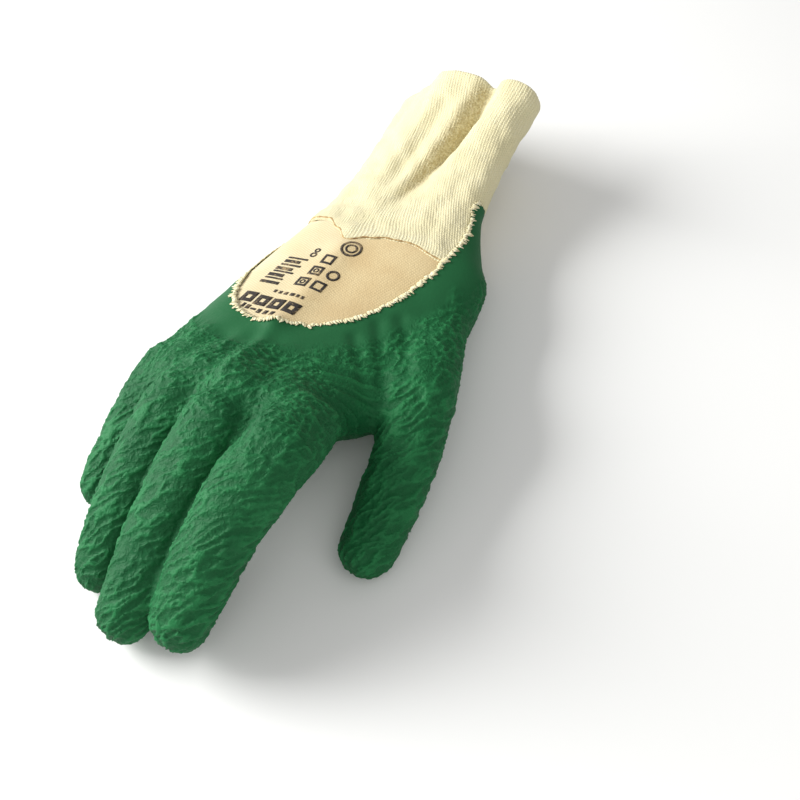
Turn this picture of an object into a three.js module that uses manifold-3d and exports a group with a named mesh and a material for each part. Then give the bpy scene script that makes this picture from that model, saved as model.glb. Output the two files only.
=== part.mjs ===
// A gardening glove for the right hand, size 8, lying palm down on a surface.
// A knitted cotton liner is sewn to a rib cuff, then dipped in green latex that
// leaves a bare patch on the back of the hand. The fingers keep the shape of a
// hand: a hollow shell, cut into the pieces that make up the glove.
// Millimetres, +Z up. +X is the thumb side, +Y points to the cuff's mouth.
import * as THREE from 'three';
import { mergeVertices } from 'three/addons/utils/BufferGeometryUtils.js';
import Module from 'manifold-3d';

const wasm = await Module();
wasm.setup();

// ---- Driving dimensions -------------------------------------------------

const SEAM_GAP = 0.3;          // between two pieces that are sewn or joined
const COAT_WALL = 1.8;         // jersey soaked and covered with latex
const CUFF_WALL = 2.4;         // rib knit, two layers
const FLOOR = 0;               // the surface that the glove lies on

const SECTION_SIDES = 26;      // points round the hand and the cuff
const DIGIT_SIDES = 13;        // points round a finger
const SECTION_STEP = 11;       // distance between rings along the hand
const SECTION_POWER = 2.4;     // 2 is an ellipse, more is squarer

// Cross sections from the cuff's mouth to the knuckles, with the wrist seam at
// y = 0: centre x and z, half width, half height, and roll in degrees (the
// thumb side is higher when it is positive).
const SECTIONS = [
  { y: 81, x: -16.8, z: 23.5, halfWidth: 39.0, halfHeight: 14.0, roll: 31 },
  { y: 56, x: -15.0, z: 18.2, halfWidth: 35.5, halfHeight: 12.5, roll: 25 },
  { y: 31, x: -11.5, z: 14.4, halfWidth: 34.5, halfHeight: 11.5, roll: 17 },
  { y: 12, x: -5.5, z: 14.0, halfWidth: 38.5, halfHeight: 12.5, roll: 11 },
  { y: 0, x: -0.7, z: 14.6, halfWidth: 42.2, halfHeight: 14.5, roll: 7 },
  { y: -36, x: 0.0, z: 14.8, halfWidth: 45.5, halfHeight: 16.0, roll: 4 },
  { y: -69, x: -1.9, z: 18.4, halfWidth: 43.5, halfHeight: 18.5, roll: 6 },
  { y: -91, x: -5.5, z: 26.5, halfWidth: 40.4, halfHeight: 18.5, roll: 20 },
  { y: -101, x: -3.5, z: 29.0, halfWidth: 37.5, halfHeight: 14.0, roll: 20 },
  { y: -110, x: -0.5, z: 31.0, halfWidth: 27.5, halfHeight: 8.5, roll: 19 },
];
const WRIST_Y = 0;
const MOUTH_Y = 81;
const HAND_END_Y = -110;

// The cuff is creased along its back: a trough that starts at the wrist and
// deepens to the mouth, with a full lobe on its little finger side.
const PLEAT = { startY: 14, fromX: -2, toX: 20, depth: 11, width: 6.5 };
const LOBE = { offset: -19, height: 5.5, width: 11 };

// Fingers and thumb: the heel, where the tube starts inside the hand, and its
// share of the root's width; the root; its length from there; how far along
// the web ends, where it parts from the hand; its width at the root and near
// the tip, its height as a share of the width; and its course in degrees: yaw
// turns to the thumb side, pitch turns down.
const DIGITS = [
  {
    name: 'finger_little', heel: [-30, -68, 18], heelShare: 0.95, root: [-33, -87.5, 24.5],
    length: 57, web: 10, width: [22, 17], flatness: 0.76, yaw: [-4, 6], pitch: [12, 31],
  },
  {
    name: 'finger_ring', heel: [-14.5, -78, 26], heelShare: 0.95, root: [-15.8, -98, 34],
    length: 74.5, web: 13, width: [24, 18], flatness: 0.78, yaw: [2, 8], pitch: [10, 37],
  },
  {
    name: 'finger_middle', heel: [7, -84, 34], heelShare: 0.95, root: [6.8, -104, 41.5],
    length: 80, web: 15, width: [25.5, 19], flatness: 0.8, yaw: [1.5, 3], pitch: [13, 40],
  },
  {
    name: 'finger_index', heel: [28.5, -84, 38], heelShare: 0.9, root: [32.6, -105, 46.8],
    length: 74, web: 15, width: [27, 20.5], flatness: 0.8, yaw: [-2, -3.5], pitch: [5, 49],
  },
  {
    name: 'thumb', heel: [32, -14, 19], heelShare: 0.75, root: [46.9, -51.5, 24.4],
    length: 68.5, web: 0, width: [26, 19.5], flatness: 0.76, yaw: [24, 5], pitch: [13, 17],
  },
];
const DIGIT_STEPS = 5;         // rings along a finger from its web to its round tip
const TIP_ANGLES = [28, 54, 76];
const FINGER_GAP = 1.8;        // between two fingers that lie side by side

// Edge of the latex on the back, seen from above: it leaves the cuff on the
// thumb side, runs round the bare patch and ends past the little finger side.
const COAT_EDGE = [
  [60, 34], [21, 33], [24.5, 16], [25.5, 2], [25, -8], [23.5, -18], [20.5, -29],
  [16, -39], [10, -48], [3, -54.5], [-6, -59], [-15, -61.5], [-23, -60],
  [-30, -56], [-36, -49.5], [-40, -41], [-44, -33], [-62, -26],
];
// Under the cuff the latex ends lower: below this sloping plane the glove is
// coated as far as COAT_END_Y.
const COAT_PLANE = { z: 17, x: -41, y: -27, slopeX: 0.1, slopeY: -0.28 };
const COAT_END_Y = 33;
const SEAM_REACH = 80;         // half width of the cut along the side seam
const SEAM_STEP = 16;

// ---- Shape helpers ------------------------------------------------------

const rad = THREE.MathUtils.degToRad;

// A value of SECTIONS at y, on a smooth curve through the sections.
const sectionKeys = ['x', 'z', 'halfWidth', 'halfHeight', 'roll'];
function sectionAt(y) {
  let i = 0;
  while (i < SECTIONS.length - 2 && SECTIONS[i + 1].y > y) i += 1;
  const before = SECTIONS[Math.max(i - 1, 0)];
  const from = SECTIONS[i];
  const to = SECTIONS[i + 1];
  const after = SECTIONS[Math.min(i + 2, SECTIONS.length - 1)];
  const t = (y - from.y) / (to.y - from.y);
  const section = { y };
  for (const key of sectionKeys) {
    const span = to.y - from.y;
    const slopeFrom = from === before ? (to[key] - from[key]) / span
      : (to[key] - before[key]) / (to.y - before.y);
    const slopeTo = to === after ? (to[key] - from[key]) / span
      : (after[key] - from[key]) / (after.y - from.y);
    section[key] = (2 * t ** 3 - 3 * t ** 2 + 1) * from[key]
      + (t ** 3 - 2 * t ** 2 + t) * span * slopeFrom
      + (3 * t ** 2 - 2 * t ** 3) * to[key]
      + (t ** 3 - t ** 2) * span * slopeTo;
  }
  return section;
}

// The ring of a section, moved in by the wall where it is an inner one. The
// cuff's pleat and lobe lift or lower the points on its back.
function sectionRing(y, inset) {
  const s = sectionAt(y);
  const along = THREE.MathUtils.clamp((y - PLEAT.startY) / (MOUTH_Y - PLEAT.startY), 0, 1.1);
  const pleatX = THREE.MathUtils.lerp(PLEAT.fromX, PLEAT.toX, along);
  const ring = [];
  for (let k = 0; k < SECTION_SIDES; k += 1) {
    const angle = (2 * Math.PI * k) / SECTION_SIDES;
    const power = 2 / SECTION_POWER;
    const across = Math.sign(Math.cos(angle)) * Math.abs(Math.cos(angle)) ** power;
    const upward = Math.sign(Math.sin(angle)) * Math.abs(Math.sin(angle)) ** power;
    const u = across * (s.halfWidth - inset);
    let v = upward * (s.halfHeight - inset);
    if (upward > 0) {
      const pleat = Math.exp(-(((u - pleatX) / PLEAT.width) ** 2));
      const lobe = Math.exp(-(((u - pleatX - LOBE.offset) / LOBE.width) ** 2));
      v += along * upward * (LOBE.height * lobe - PLEAT.depth * pleat);
    }
    const roll = rad(s.roll);
    ring.push(new THREE.Vector3(
      s.x + u * Math.cos(roll) - v * Math.sin(roll),
      y,
      s.z + u * Math.sin(roll) + v * Math.cos(roll),
    ));
  }
  return ring;
}

// A closed skin over rings of equal size, with a flat fan at each end.
function loft(rings) {
  const sides = rings[0].length;
  const points = rings.flat();
  const first = points.length;
  const middle = (ring) => ring.reduce((sum, p) => sum.add(p), new THREE.Vector3())
    .divideScalar(sides);
  points.push(middle(rings[0]), middle(rings[rings.length - 1]));
  const index = [];
  for (let r = 0; r < rings.length - 1; r += 1) {
    for (let k = 0; k < sides; k += 1) {
      const a = r * sides + k;
      const b = r * sides + ((k + 1) % sides);
      index.push(a, b, a + sides, b, b + sides, a + sides);
    }
  }
  const last = (rings.length - 1) * sides;
  for (let k = 0; k < sides; k += 1) {
    const next = (k + 1) % sides;
    index.push(first, next, k);
    index.push(first + 1, last + k, last + next);
  }
  const geometry = new THREE.BufferGeometry();
  geometry.setAttribute('position', new THREE.Float32BufferAttribute(
    points.flatMap((p) => [p.x, p.y, p.z]), 3,
  ));
  geometry.setIndex(index);
  return geometry;
}

// A closed geometry as a solid, turned right side out if it needs it.
function solid(geometry) {
  const bare = geometry.clone();
  for (const name of ['normal', 'uv']) bare.deleteAttribute(name);
  const merged = mergeVertices(bare, 1e-4);
  const position = merged.getAttribute('position');
  const index = merged.getIndex().array;
  let volume = 0;
  const corner = [0, 1, 2].map(() => new THREE.Vector3());
  for (let i = 0; i < index.length; i += 3) {
    corner.forEach((p, j) => p.fromBufferAttribute(position, index[i + j]));
    volume += corner[0].dot(corner[1].clone().cross(corner[2]));
  }
  const triVerts = new Uint32Array(index);
  if (volume < 0) {
    for (let i = 0; i < triVerts.length; i += 3) {
      [triVerts[i], triVerts[i + 1]] = [triVerts[i + 1], triVerts[i]];
    }
  }
  return new wasm.Manifold(new wasm.Mesh({
    numProp: 3, vertProperties: new Float32Array(position.array), triVerts,
  }));
}

function block(low, high) {
  const box = new THREE.BoxGeometry(high[0] - low[0], high[1] - low[1], high[2] - low[2]);
  box.translate((low[0] + high[0]) / 2, (low[1] + high[1]) / 2, (low[2] + high[2]) / 2);
  return solid(box);
}

const REACH = 400;             // larger than the glove, for cutting blocks
const above = (z) => block([-REACH, -REACH, z], [REACH, REACH, REACH]);
const cuffSideOf = (y) => block([-REACH, y, -REACH], [REACH, REACH, REACH]);

// ---- Hand, cuff and digits as plain solids --------------------------------

// The hand or cuff between two distances along the glove.
function tube(fromY, toY, inset) {
  const steps = Math.ceil((toY - fromY) / SECTION_STEP);
  const rings = [];
  for (let i = 0; i <= steps; i += 1) {
    rings.push(sectionRing(fromY + ((toY - fromY) * i) / steps, inset));
  }
  return solid(loft(rings));
}

function course(digit, share) {
  const yaw = rad(THREE.MathUtils.lerp(digit.yaw[0], digit.yaw[1], share));
  const pitch = rad(THREE.MathUtils.lerp(digit.pitch[0], digit.pitch[1], share));
  return {
    along: new THREE.Vector3(
      Math.sin(yaw) * Math.cos(pitch), -Math.cos(yaw) * Math.cos(pitch), -Math.sin(pitch),
    ),
    side: new THREE.Vector3(Math.cos(yaw), Math.sin(yaw), 0),
  };
}

// The middle line of a digit: its root, the end of its web, and even steps
// from there to the start of its round tip. share is the way along it, 0 to 1.
function middleLine(digit) {
  const run = digit.length - digit.width[1] / 2;
  const line = [{ centre: new THREE.Vector3(...digit.root), share: 0 }];
  const webShare = digit.web / run;
  for (let i = digit.web > 0 ? 0 : 1; i <= DIGIT_STEPS; i += 1) {
    const before = line[line.length - 1];
    const share = webShare + ((1 - webShare) * i) / DIGIT_STEPS;
    const { along } = course(digit, (share + before.share) / 2);
    line.push({
      centre: before.centre.clone().addScaledVector(along, run * (share - before.share)),
      share,
    });
  }
  return line;
}

// The plane halfway between two neighbouring fingers.
function planeBetween(one, other) {
  const [a, b] = [one, other].map((digit) => middleLine(digit).map((stop) => stop.centre));
  const [meanA, meanB] = [a, b].map((line) => line[0].clone().add(line.at(-1)).multiplyScalar(0.5));
  const normal = meanA.clone().sub(meanB);
  const along = a.at(-1).clone().sub(a[0]).normalize();
  normal.addScaledVector(along, -normal.dot(along)).normalize();
  return { point: meanA.add(meanB).multiplyScalar(0.5), normal };
}

// A digit with a round tip. Past its web its skin is pressed flat beside
// another finger. The solid is inset by the wall or grown by a margin. It
// starts at its heel, or just behind the end of its web where that is asked.
function digitSolid(digit, inset, behindWeb) {
  const fingers = DIGITS.filter((d) => d.name !== 'thumb');
  const place = fingers.indexOf(digit);
  const planes = place < 0 ? [] : [fingers[place - 1], fingers[place + 1]]
    .filter((neighbour) => neighbour !== undefined)
    .map((neighbour) => planeBetween(digit, neighbour));
  const line = middleLine(digit);
  const rings = [];
  const addRing = (centre, share, scale, pressed) => {
    const { along, side } = course(digit, share);
    const up = new THREE.Vector3().crossVectors(side, along);
    up.multiplyScalar(Math.sign(up.z) || 1);
    const width = THREE.MathUtils.lerp(digit.width[0], digit.width[1], share) / 2;
    const ring = [];
    for (let k = 0; k < DIGIT_SIDES; k += 1) {
      const angle = (2 * Math.PI * k) / DIGIT_SIDES;
      const p = centre.clone()
        .addScaledVector(side, Math.cos(angle) * (width - inset) * scale)
        .addScaledVector(up, Math.sin(angle) * (width * digit.flatness - inset) * scale);
      for (const plane of pressed ? planes : []) {
        const clear = p.clone().sub(plane.point).dot(plane.normal);
        const least = FINGER_GAP / 2 + inset;
        if (clear < least) p.addScaledVector(plane.normal, least - clear);
      }
      ring.push(p);
    }
    rings.push(ring);
  };
  let stops = line;
  if (behindWeb === undefined) {
    const heel = new THREE.Vector3(...digit.heel).addScaledVector(course(digit, 0).along, inset);
    addRing(heel, 0, digit.heelShare, false);
  } else {
    stops = digit.web > 0 ? line.slice(2) : line.slice(1);
    const { centre, share } = digit.web > 0 ? line[1] : line[0];
    addRing(centre.clone().addScaledVector(course(digit, share).along, -behindWeb), share, 1, true);
  }
  const webShare = line[1].share;
  for (const { centre, share } of stops) addRing(centre, share, 1, share >= webShare);
  const end = course(digit, 1).along;
  const tip = digit.width[1] / 2 - inset;
  for (const angle of TIP_ANGLES) {
    const centre = line.at(-1).centre.clone().addScaledVector(end, tip * Math.sin(rad(angle)));
    addRing(centre, 1, Math.cos(rad(angle)), true);
  }
  return solid(loft(rings));
}

// ---- Hollow shell ---------------------------------------------------------

function gloveBody(inset, endY, startY) {
  let body = tube(endY, startY, inset);
  for (const digit of DIGITS) body = body.add(digitSolid(digit, inset));
  return body.intersect(above(FLOOR + inset));
}

const OPEN_END = 6;            // how far an inner solid runs past an open end
const handShell = gloveBody(0, HAND_END_Y, COAT_END_Y + OPEN_END)
  .subtract(gloveBody(COAT_WALL, HAND_END_Y + COAT_WALL, COAT_END_Y + 2 * OPEN_END));
const cuffShell = tube(WRIST_Y - OPEN_END, MOUTH_Y, 0).intersect(above(FLOOR))
  .subtract(tube(WRIST_Y - 2 * OPEN_END, MOUTH_Y + OPEN_END, CUFF_WALL)
    .intersect(above(FLOOR + CUFF_WALL)));

// The space where the glove is bare: above the sloping plane, and inside the
// edge of the latex. grow moves both out, to leave a gap at the joint.
function bareSpace(grow) {
  const edge = COAT_EDGE.map(([x, y]) => new THREE.Vector2(x, y));
  const curve = new THREE.SplineCurve(edge.slice(1, -1));
  const outline = [edge[0], ...curve.getPoints(26), edge[edge.length - 1]];
  const normals = outline.slice(1).map((p, i) => {
    const along = p.clone().sub(outline[i]).normalize();
    return new THREE.Vector2(-along.y, along.x);
  });
  const moved = outline.map((p, i) => {
    const before = normals[Math.max(i - 1, 0)];
    const after = normals[Math.min(i, normals.length - 1)];
    return before.clone().add(after).multiplyScalar(grow / (1 + before.dot(after))).add(p);
  });
  const farY = MOUTH_Y + 4 * OPEN_END;
  const shape = new THREE.Shape([
    ...moved, new THREE.Vector2(-REACH, edge[edge.length - 1].y),
    new THREE.Vector2(-REACH, farY), new THREE.Vector2(REACH, farY),
    new THREE.Vector2(REACH, edge[0].y - grow),
  ]);
  const column = solid(new THREE.ExtrudeGeometry(shape, {
    depth: 2 * REACH, bevelEnabled: false,
  }).translate(0, 0, -REACH));
  const planeZ = (x, y) => COAT_PLANE.z - grow
    + COAT_PLANE.slopeX * (x - COAT_PLANE.x) + COAT_PLANE.slopeY * (y - COAT_PLANE.y);
  const corner = (x, y, z) => new THREE.Vector3(x, y, z);
  const wedge = solid(loft([-REACH, REACH].map((y) => [
    corner(-REACH, y, planeZ(-REACH, y)), corner(REACH, y, planeZ(REACH, y)),
    corner(REACH, y, 3 * REACH), corner(-REACH, y, 3 * REACH),
  ])));
  return column.intersect(wedge).add(cuffSideOf(COAT_END_Y - grow));
}

// The space under the side seam, which parts the palm from the back.
function palmSpace(lift) {
  const rings = [];
  for (let y = HAND_END_Y - SEAM_REACH; y <= COAT_END_Y + SEAM_REACH; y += SEAM_STEP) {
    const s = sectionAt(THREE.MathUtils.clamp(y, HAND_END_Y, COAT_END_Y));
    const slope = Math.tan(rad(s.roll));
    const top = [];
    for (let x = -SEAM_REACH; x <= SEAM_REACH; x += SEAM_STEP) {
      top.push(new THREE.Vector3(x, y, s.z + (x - s.x) * slope + lift));
    }
    rings.push([
      new THREE.Vector3(-SEAM_REACH, y, -REACH), ...top,
      new THREE.Vector3(SEAM_REACH, y, -REACH),
    ]);
  }
  return solid(loft(rings));
}

const bare = bareSpace(0);
const coated = handShell.subtract(bareSpace(SEAM_GAP));
const cuffPiece = cuffShell.intersect(bare).intersect(cuffSideOf(WRIST_Y + SEAM_GAP / 2));
const patchPiece = handShell.intersect(bare).subtract(cuffSideOf(WRIST_Y - SEAM_GAP / 2));

// ---- Pieces ---------------------------------------------------------------

const glove = new THREE.Group();

function addPiece(name, manifold, colour, roughness) {
  const parts = manifold.decompose();
  parts.sort((a, b) => b.volume() - a.volume());
  const mesh = parts[0].getMesh();
  const geometry = new THREE.BufferGeometry();
  geometry.setAttribute('position', new THREE.BufferAttribute(mesh.vertProperties, 3));
  geometry.setIndex(new THREE.BufferAttribute(mesh.triVerts, 1));
  geometry.computeVertexNormals();
  const piece = new THREE.Mesh(geometry, new THREE.MeshStandardMaterial({
    color: colour, roughness, metalness: 0,
  }));
  piece.name = name;
  glove.add(piece);
}

const COTTON = 0xece6bd;
const JERSEY = 0xe3d3a8;
const LATEX = 0x24613d;
const COTTON_ROUGHNESS = 0.95;
const LATEX_ROUGHNESS = 0.5;

addPiece('knit_cuff', cuffPiece, COTTON, COTTON_ROUGHNESS);
addPiece('back_bare', patchPiece, JERSEY, COTTON_ROUGHNESS);

const ROOT_MARGIN = 0.8;       // how far a cutting envelope stands off a digit
let hand = coated;
for (const digit of DIGITS) {
  addPiece(digit.name, coated.intersect(digitSolid(digit, -ROOT_MARGIN, 0)), LATEX,
    LATEX_ROUGHNESS);
  hand = hand.subtract(digitSolid(digit, -ROOT_MARGIN - SEAM_GAP, SEAM_GAP));
}
addPiece('palm_coated', hand.intersect(palmSpace(-SEAM_GAP / 2)), LATEX, LATEX_ROUGHNESS);
addPiece('back_coated', hand.subtract(palmSpace(SEAM_GAP / 2)), LATEX, LATEX_ROUGHNESS);

// The origin is under the middle of the whole glove, on the surface it lies on.
const whole = new THREE.Box3().setFromObject(glove);
glove.position.set(
  -(whole.min.x + whole.max.x) / 2, -(whole.min.y + whole.max.y) / 2, -whole.min.z,
);

export default glove;
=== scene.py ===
# A gardening glove for the right hand, lying palm down on a table: cotton
# jersey dipped in green crinkled latex, a bare patch on the back of the hand,
# and a cream rib cuff.

import math
import random

import bmesh
import bpy
from mathutils import Matrix, Vector, kdtree, noise
from mathutils.bvhtree import BVHTree


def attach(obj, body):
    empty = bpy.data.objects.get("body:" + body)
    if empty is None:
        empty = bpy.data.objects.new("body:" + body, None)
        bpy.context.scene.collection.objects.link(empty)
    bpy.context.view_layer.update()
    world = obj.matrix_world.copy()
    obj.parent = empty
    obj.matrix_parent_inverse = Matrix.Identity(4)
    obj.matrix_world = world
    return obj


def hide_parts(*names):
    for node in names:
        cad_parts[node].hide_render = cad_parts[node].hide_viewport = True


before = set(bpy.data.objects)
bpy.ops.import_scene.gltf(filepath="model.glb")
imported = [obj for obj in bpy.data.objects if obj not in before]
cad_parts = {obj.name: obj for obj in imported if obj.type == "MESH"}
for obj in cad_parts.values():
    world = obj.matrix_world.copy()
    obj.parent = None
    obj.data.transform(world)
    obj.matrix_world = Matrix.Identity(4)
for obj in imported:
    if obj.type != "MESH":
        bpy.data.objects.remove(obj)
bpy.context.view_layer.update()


# ---- Camera -----------------------------------------------------------------
# A hand-held look down at the glove from past its fingertips, on the thumb
# side, with the camera turned a little about its own axis.

MM = 0.001
AIM = Vector((34.5, -12.8, 25.0)) * MM
AIM_AZIMUTH = math.radians(39.2)
AIM_ELEVATION = math.radians(52.9)
CAMERA_ROLL = math.radians(-6.7)
CAMERA_DISTANCE = 391 * MM
LENS_MM = 52.1

towards_camera = Vector((
    math.sin(AIM_AZIMUTH) * math.cos(AIM_ELEVATION),
    -math.cos(AIM_AZIMUTH) * math.cos(AIM_ELEVATION),
    math.sin(AIM_ELEVATION),
))
camera = bpy.data.objects.new("camera", bpy.data.cameras.new("camera"))
camera.data.lens = LENS_MM
camera.data.sensor_width = 36
camera.data.clip_start = 0.02
bpy.context.scene.collection.objects.link(camera)
turned = towards_camera.to_track_quat("Z", "Y").to_matrix() @ Matrix.Rotation(CAMERA_ROLL, 3, "Z")
camera.matrix_world = Matrix.LocRotScale(
    AIM + towards_camera * CAMERA_DISTANCE, turned.to_quaternion(), None)
bpy.context.scene.camera = camera


# ---- Floor and studio light ---------------------------------------------------
# A plain pale table and three soft lights: a large window on the little
# finger side, a weak fill on the thumb side, and the pale room itself.

FLOOR_SIZE = 6.0


def area_light(name, place, aim, power, size):
    lamp = bpy.data.lights.new(name, "AREA")
    lamp.energy = power
    lamp.size = size
    holder = bpy.data.objects.new(name, lamp)
    bpy.context.scene.collection.objects.link(holder)
    away = Vector(place) - Vector(aim)
    holder.matrix_world = Matrix.LocRotScale(Vector(place), away.to_track_quat("Z", "Y"), None)


def principled(name):
    """A new material, with its node tree and its shader."""
    finish = bpy.data.materials.new(name)
    finish.use_nodes = True
    return finish, finish.node_tree, finish.node_tree.nodes["Principled BSDF"]


def srgb(red, green, blue):
    """A colour seen on a screen, 0 to 255, as the light that the shader wants."""
    def light(value):
        value /= 255
        return value / 12.92 if value <= 0.04045 else ((value + 0.055) / 1.055) ** 2.4
    return light(red), light(green), light(blue), 1.0


floor_shape = bmesh.new()
bmesh.ops.create_grid(floor_shape, x_segments=1, y_segments=1, size=FLOOR_SIZE / 2)
floor_mesh = bpy.data.meshes.new("floor")
floor_shape.to_mesh(floor_mesh)
floor_shape.free()
floor = bpy.data.objects.new("floor", floor_mesh)
bpy.context.scene.collection.objects.link(floor)
floor_finish, _, floor_shader = principled("table_white")
floor_shader.inputs["Base Color"].default_value = srgb(238, 238, 236)
floor_shader.inputs["Roughness"].default_value = 0.9
floor_mesh.materials.append(floor_finish)

area_light("window", (-0.95, -0.3, 0.55), (0, 0, 0.02), 24, 0.7)
area_light("fill", (0.55, -0.35, 0.7), (0, 0, 0.02), 3.2, 1.0)
world = bpy.data.worlds.new("room")
world.use_nodes = True
world.node_tree.nodes["Background"].inputs["Color"].default_value = (1, 1, 1, 1)
world.node_tree.nodes["Background"].inputs["Strength"].default_value = 0.4
bpy.context.scene.world = world
bpy.context.scene.view_settings.view_transform = "Standard"


# ---- Latex coat ---------------------------------------------------------------
# The liner is dipped in natural rubber latex that dries in fine crinkles. It
# covers the palm, the digits and the knuckles in one skin, 0.7 mm thick, and
# ends on a ragged line round the back of the hand and over the cuff.

WRIST_SEAM = Vector((-9.5877, 47.085, 0.0))     # its middle in the frame, mm
SECTION_POWER = 2.4                               # 2 is an ellipse, more is squarer

# Cross sections, the same as the CAD model's: y from the wrist seam, centre x
# and z, half width, half height and roll in degrees, in mm.
SECTIONS = (
    (81, -16.8, 23.5, 39.0, 14.0, 31),
    (56, -15.0, 18.2, 35.5, 12.5, 25),
    (31, -11.5, 14.4, 34.5, 11.5, 17),
    (12, -5.5, 14.0, 38.5, 12.5, 11),
    (0, -0.7, 14.6, 42.2, 14.5, 7),
    (-36, 0.0, 14.8, 45.5, 16.0, 4),
    (-69, -1.9, 18.4, 43.5, 18.5, 6),
    (-91, -5.5, 26.5, 40.4, 18.5, 20),
    (-101, -3.5, 29.0, 37.5, 14.0, 20),
    (-110, -0.5, 31.0, 27.5, 8.5, 19),
)
HAND_END_Y = -110
HAND_SIDES = 56
HAND_STEP = 3.5

# Each digit: its heel inside the hand and the heel's share of the root's
# width, its root, its length from there, where its web ends, its width at the
# root and the tip, its height as a share of that, and its yaw and pitch.
DIGITS = {
    "little": dict(heel=(-30, -68, 18), heel_share=0.95, root=(-33, -87.5, 24.5), length=57,
                   web=10, width=(22.0, 17.0), flatness=0.76, yaw=(-4, 6), pitch=(12, 31)),
    "ring": dict(heel=(-14.5, -78, 26), heel_share=0.95, root=(-15.8, -98, 34), length=74.5,
                 web=13, width=(24.0, 18.0), flatness=0.78, yaw=(2, 8), pitch=(10, 37)),
    "middle": dict(heel=(7, -84, 34), heel_share=0.95, root=(6.8, -104, 41.5), length=80,
                   web=15, width=(25.5, 19.0), flatness=0.8, yaw=(1.5, 3), pitch=(13, 40)),
    "index": dict(heel=(28.5, -84, 38), heel_share=0.9, root=(32.6, -105, 46.8), length=74.0,
                  web=15, width=(27, 20.5), flatness=0.8, yaw=(-2, -3.5), pitch=(5, 49)),
    "thumb": dict(heel=(32, -14, 19), heel_share=0.75, root=(46.9, -51.5, 24.4), length=68.5,
                  web=0, width=(26, 19.5), flatness=0.76, yaw=(24, 5), pitch=(13, 17)),
}
FINGERS = ("little", "ring", "middle", "index")
DIGIT_SIDES = 28
DIGIT_STEPS = 18
TIP_ANGLES = (12, 24, 36, 48, 60, 72, 82)
FINGER_GAP = 2.0
WEB_MIDDLE = Vector((37, -70, 26))        # between the index and the thumb, from the wrist
WEB_REACH = 23
WEB_SMOOTHING = 75                        # passes at a step of 1 mm

COAT_OUT = -0.25         # the coat's outer face stands out from the CAD model's skin
COAT_IN = 0.45           # and its inner face lies this deep in it
COAT_VOXEL = 0.84
COAT_BACK_VOXEL = 2.2
COAT_PASSES, COAT_BACK_PASSES = 34, 6             # of smoothing
COAT_SINK = 0.2          # the crinkles' feet lie this deep under the smooth coat
COAT_SPARE = 3           # made longer than it ends, and trimmed
TABLE_CLEAR = 0.02       # between the glove and the table

# The edge of the latex, seen from above, from the cuff on the thumb side round
# the bare patch to the little finger side; the sloping plane under which the
# side of the hand is coated; and where the latex ends under the cuff.
COAT_EDGE = (
    (60, 34), (21, 33), (24.5, 16), (25.5, 2), (25, -8), (23.5, -18), (20.5, -29), (16, -39),
    (10, -48), (3, -54.5), (-6, -59), (-15, -61.5), (-23, -60), (-30, -56), (-36, -49.5),
    (-40, -41), (-44, -33), (-62, -26),
)
COAT_EDGE_STEPS = 14
PLANE_HEIGHT, PLANE_SLOPE_X, PLANE_SLOPE_Y = 13.54, 0.1, -0.28
COAT_END_Y = 33
RAGGED = ((0.42, 0.9), (1.1, 0.5))                # pitch and reach of the ragged edge
TRIM_STEP = 0.2                                   # over which the edge's slope is measured


def section_at(y):
    """The cross section at y, on the smooth curve through SECTIONS."""
    i = 0
    while i < len(SECTIONS) - 2 and SECTIONS[i + 1][0] > y:
        i += 1
    start, end = SECTIONS[i], SECTIONS[i + 1]
    before = SECTIONS[max(i - 1, 0)]
    after = SECTIONS[min(i + 2, len(SECTIONS) - 1)]
    span = end[0] - start[0]
    t = (y - start[0]) / span
    values = []
    for k in range(1, len(start)):
        slope = (end[k] - start[k]) / span
        slope_in = slope if before is start else (end[k] - before[k]) / (end[0] - before[0])
        slope_out = slope if after is end else (after[k] - start[k]) / (after[0] - start[0])
        values.append(
            (2 * t ** 3 - 3 * t ** 2 + 1) * start[k] + (t ** 3 - 2 * t ** 2 + t) * span * slope_in
            + (3 * t ** 2 - 2 * t ** 3) * end[k] + (t ** 3 - t ** 2) * span * slope_out)
    return values


def section_axes(roll):
    """The directions across a section and out of its back."""
    side = Vector((math.cos(math.radians(roll)), 0, math.sin(math.radians(roll))))
    return side, Vector((-side.z, 0, side.x))


def on_oval(angle):
    """The place on a squarish oval of radius 1, across and upward."""
    return [math.copysign(abs(part) ** (2 / SECTION_POWER), part)
            for part in (math.cos(angle), math.sin(angle))]


def section_ring(y, inset, sides):
    """Points round the hand at y, moved in by inset."""
    x, z, half_width, half_height, roll = section_at(y)
    side, up = section_axes(roll)
    ring = []
    for k in range(sides):
        across, upward = on_oval(math.tau * k / sides)
        ring.append(Vector((x, y, z)) + side * across * (half_width - inset)
                    + up * upward * (half_height - inset))
    return ring


def between(pair, share):
    """The value at a share of the way from one to the other."""
    return pair[0] + (pair[1] - pair[0]) * share


def smoothstep(low, high, value):
    """Rises softly from 0 at low to 1 at high."""
    t = min(max((value - low) / (high - low), 0), 1)
    return t * t * (3 - 2 * t)


def course(name, share):
    """The directions along a digit, across it and out of its back, at a share of its length."""
    yaw = math.radians(between(DIGITS[name]["yaw"], share))
    pitch = math.radians(between(DIGITS[name]["pitch"], share))
    along = Vector((math.sin(yaw) * math.cos(pitch), -math.cos(yaw) * math.cos(pitch),
                    -math.sin(pitch)))
    side = Vector((math.cos(yaw), math.sin(yaw), 0))
    return along, side, side.cross(along) * (1 if side.cross(along).z > 0 else -1)


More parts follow.
